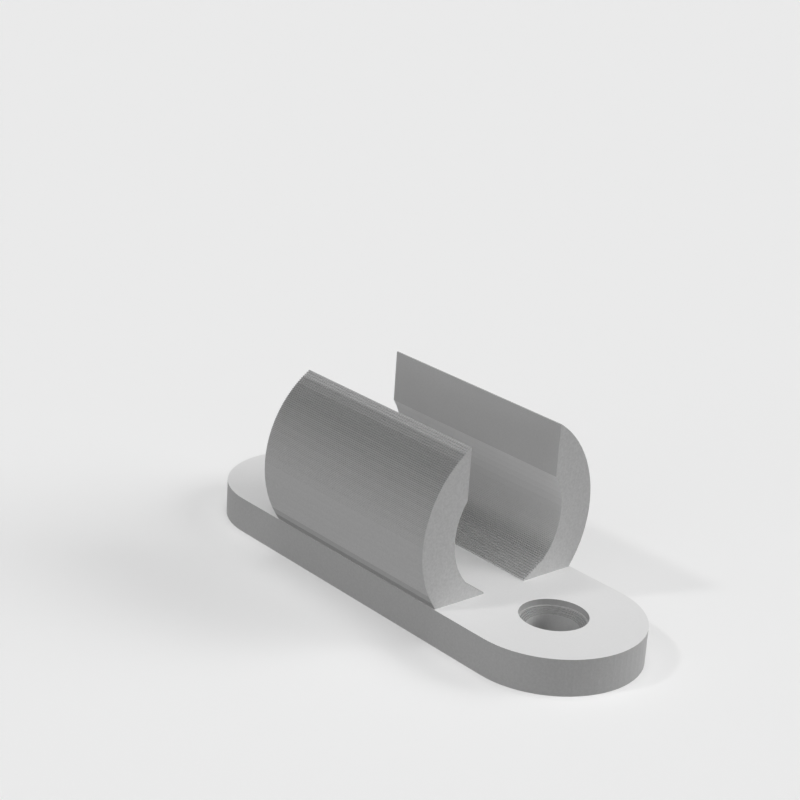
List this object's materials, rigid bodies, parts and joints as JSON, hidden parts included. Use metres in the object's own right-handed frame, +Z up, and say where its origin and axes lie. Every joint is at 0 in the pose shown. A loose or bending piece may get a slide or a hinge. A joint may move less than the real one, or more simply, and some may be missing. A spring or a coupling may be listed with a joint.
{
  "type": "cable holder",
  "caption": "Screw-down cable holder: a flat base with rounded, countersunk ends carries an open clip of two curved arms that a thick cable or tube snaps into.",
  "frame": {"origin": "middle of the base's flat underside, which lies against what the holder is screwed to", "axes": "+X along the base and the cable, +Z up out of the clip's mouth, +Y across the base"},
  "size_m": [0.07, 0.0274, 0.0243],
  "materials": {
    "printed_plastic": "matte grey printed plastic with fine layer lines"
  },
  "bodies": {
    "root": {"cable_holder": "printed_plastic"}
  },
  "joints": []
}
